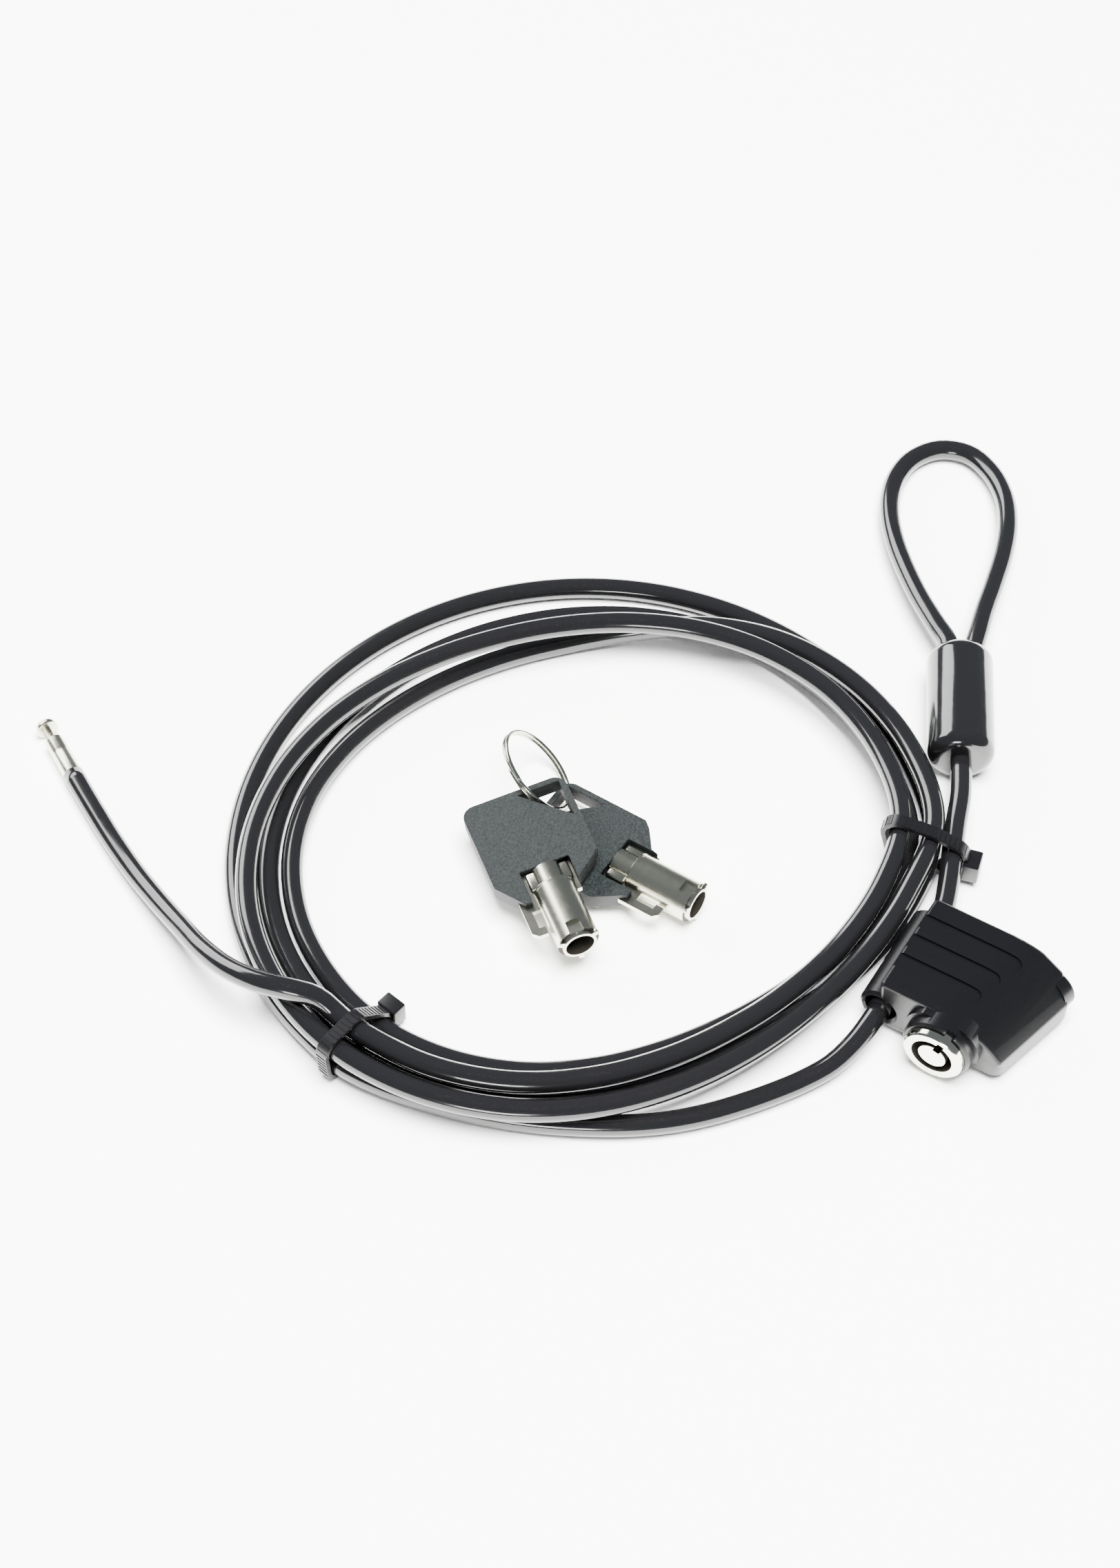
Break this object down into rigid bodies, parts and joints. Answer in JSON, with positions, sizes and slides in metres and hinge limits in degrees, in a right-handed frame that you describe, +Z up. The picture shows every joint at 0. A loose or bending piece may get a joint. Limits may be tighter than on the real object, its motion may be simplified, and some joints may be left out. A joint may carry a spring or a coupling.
{
  "type": "laptop cable lock",
  "caption": "Laptop cable lock: black plastic housing with a round-keyed push lock, a coiled jacketed steel cable with plug and loop, and its keys on a ring.",
  "frame": {"origin": "on the table plane, under the lock's axis, half-way through the housing's depth", "axes": "+X from the lock towards the plug's socket, +Y from the lock's face towards the housing's back, +Z up from the table"},
  "size_m": [0.1935, 0.1914, 0.0141],
  "materials": {
    "housing_plastic": "satin",
    "socket_plastic": "satin",
    "zinc_steel": "satin",
    "lock_chrome": "gloss",
    "pin_brass": "satin",
    "spring_steel": "satin",
    "cable_jacket": "gloss",
    "dipped_vinyl": "gloss",
    "crimp_aluminium": "satin",
    "plug_nickel": "gloss",
    "tie_nylon": "satin",
    "key_plastic": "matte",
    "key_steel": "gloss",
    "ring_steel": "gloss"
  },
  "bodies": {
    "housing": {"upper_shell": "housing_plastic", "lower_shell": "housing_plastic", "shell_screws": "zinc_steel", "plug_socket": "socket_plastic", "cable_in_housing": "cable_jacket", "cable_lead": "cable_jacket", "cable_coil": "cable_jacket", "cable_tail": "cable_jacket", "cable_link": "cable_jacket", "cable_loop": "cable_jacket", "ferrule_sleeve": "dipped_vinyl", "ferrule_crimp": "crimp_aluminium", "plug": "plug_nickel", "tie_right": "tie_nylon", "tie_left": "tie_nylon", "key_1_bow": "key_plastic", "key_1_blade": "key_steel", "key_2_bow": "key_plastic", "key_2_blade": "key_steel"},
    "push_lock": {"lock_cylinder": "lock_chrome", "return_spring": "spring_steel"},
    "lock_core": {"cylinder_core": "lock_chrome", "tumbler_pins": "pin_brass"},
    "latch": {"latch_slide": "zinc_steel"},
    "ring": {"key_ring": "ring_steel"}
  },
  "joints": [
    {"name": "push_slide", "type": "slide", "parent": "housing", "child": "push_lock", "axis": [0, 1, 0], "range_m": [0, 0.0035], "stiffness_N_per_m": 250, "deforming": ["return_spring"]},
    {"name": "core_turn", "type": "hinge", "parent": "push_lock", "child": "lock_core", "pos_m": [0, -0.012, 0.0064], "axis": [0, 1, 0], "range_deg": [0, 90]},
    {"name": "latch_slide_joint", "type": "slide", "parent": "housing", "child": "latch", "axis": [1, 0, 0], "range_m": [0, 0.002]},
    {"name": "ring_turn", "type": "hinge", "parent": "housing", "child": "ring", "pos_m": [-0.0901, 0.00235, 0.00695], "axis": [0.5479, 0.4951, 0.6743], "range_deg": [-180, 180]}
  ],
  "couplings": [
    {"joint": "latch_slide_joint", "follows": "push_slide", "ratio": 0.57143}
  ]
}
